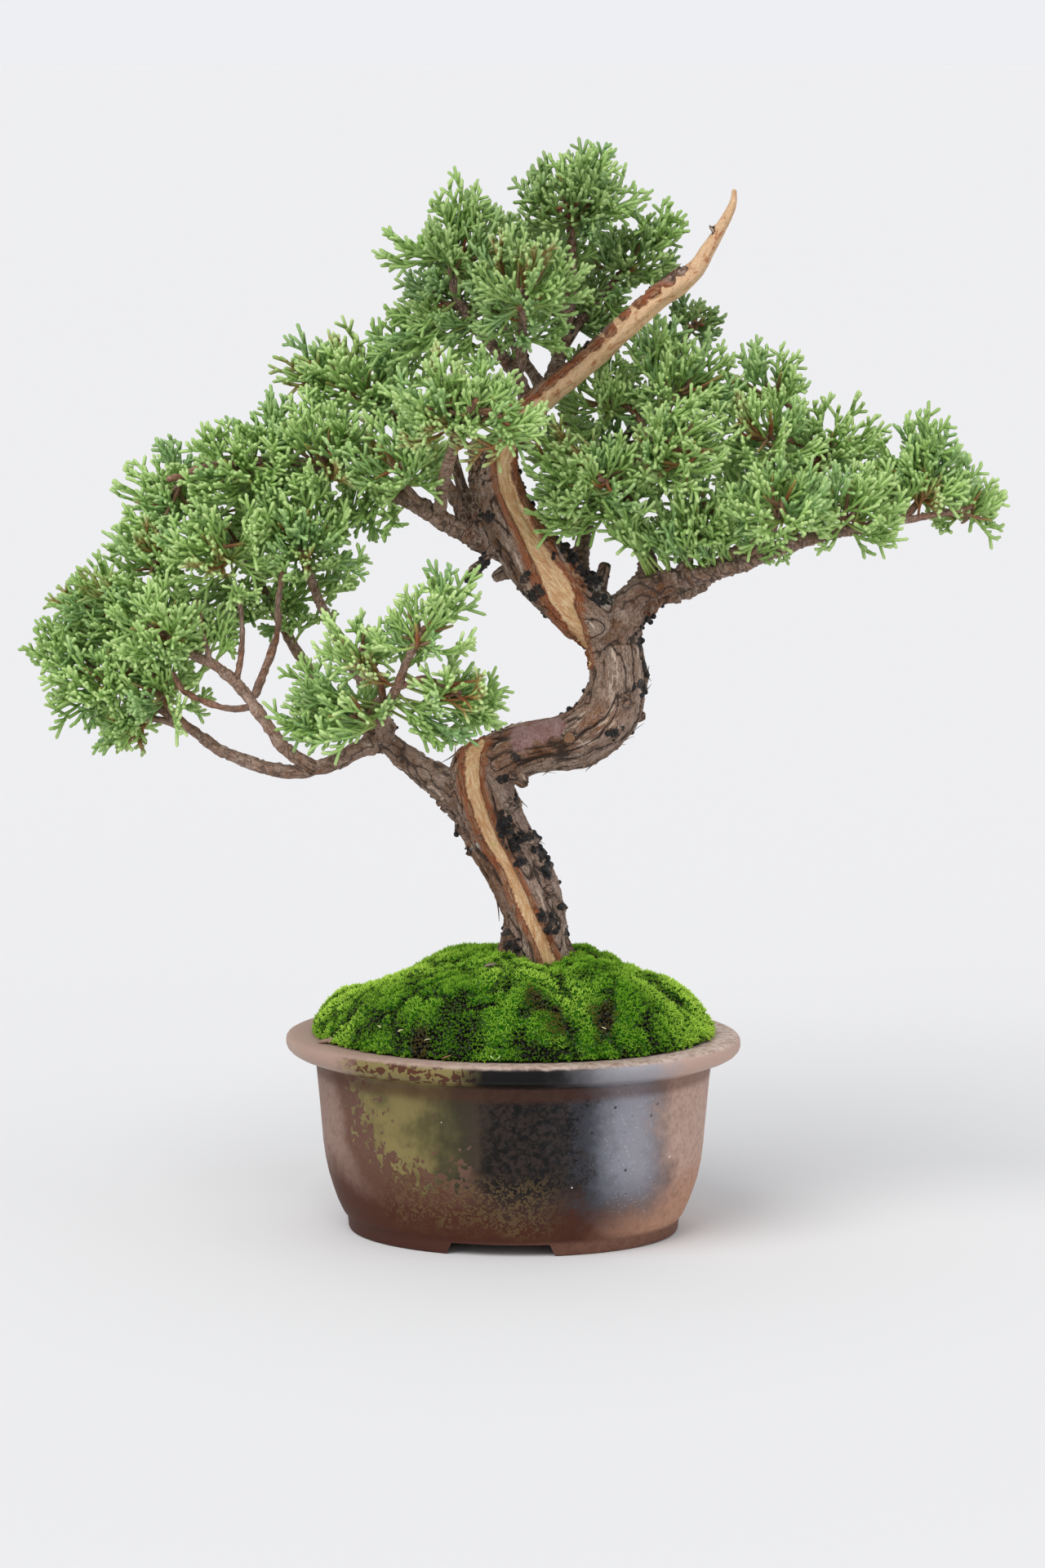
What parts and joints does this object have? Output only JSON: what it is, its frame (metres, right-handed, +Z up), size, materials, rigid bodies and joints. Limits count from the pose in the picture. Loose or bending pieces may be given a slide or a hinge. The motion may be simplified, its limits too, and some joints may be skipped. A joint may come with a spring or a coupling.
{
  "type": "itoigawa juniper bonsai",
  "caption": "Small juniper bonsai with a bent trunk, bare deadwood top and scale-leaved foliage, in an oval stoneware pot covered with moss.",
  "frame": {"origin": "on the surface the pot stands on, under the middle of the whole tree and of the oval pot", "axes": "+X along the pot's long side, to the right seen from the front; -Y towards the viewer; +Z up"},
  "size_m": [0.3249, 0.1476, 0.3572],
  "materials": {
    "stoneware": "wood-fired stoneware with an ash glaze",
    "screen": "black plastic mesh",
    "soil": "moist granular bonsai soil",
    "moss": "short velvety moss",
    "wood": "flaking juniper bark with bare weathered wood",
    "foliage": "scale-leaved juniper cords"
  },
  "bodies": {
    "root": {"pot": "stoneware", "drain_screen_left": "screen", "drain_screen_right": "screen", "soil": "soil", "moss": "moss", "trunk": "wood", "foliage_top_1": "foliage", "foliage_top_2": "foliage", "foliage_top_3": "foliage", "foliage_topLeft_1": "foliage", "foliage_topLeft_2": "foliage", "foliage_topFront_1": "foliage", "foliage_topRight_1": "foliage", "foliage_left_1": "foliage", "foliage_left_2": "foliage", "foliage_left_3": "foliage", "foliage_left_4": "foliage", "foliage_left_5": "foliage", "foliage_leftFront_1": "foliage", "foliage_leftFront_2": "foliage", "foliage_leftRise_1": "foliage", "foliage_lowMiddle_1": "foliage", "foliage_lowBack_1": "foliage", "foliage_lowBack_2": "foliage", "foliage_lowInner_1": "foliage", "foliage_lowInner_2": "foliage", "foliage_low_1": "foliage", "foliage_low_2": "foliage", "foliage_low_3": "foliage", "foliage_lowFront_1": "foliage", "foliage_lowFront_2": "foliage", "foliage_lowFront_3": "foliage", "foliage_lowFront_4": "foliage", "foliage_right_1": "foliage", "foliage_right_2": "foliage", "foliage_right_3": "foliage", "foliage_right_4": "foliage", "foliage_right_5": "foliage", "foliage_rightRise_1": "foliage", "foliage_rightRise_2": "foliage", "foliage_rightRise_3": "foliage", "foliage_rightRise_4": "foliage", "foliage_rightBack_1": "foliage", "foliage_rightBack_2": "foliage", "foliage_rightBack_3": "foliage", "foliage_rightBack_4": "foliage", "foliage_rearStem_1": "foliage", "foliage_rearStem_2": "foliage", "foliage_rearStem_3": "foliage"}
  },
  "joints": []
}
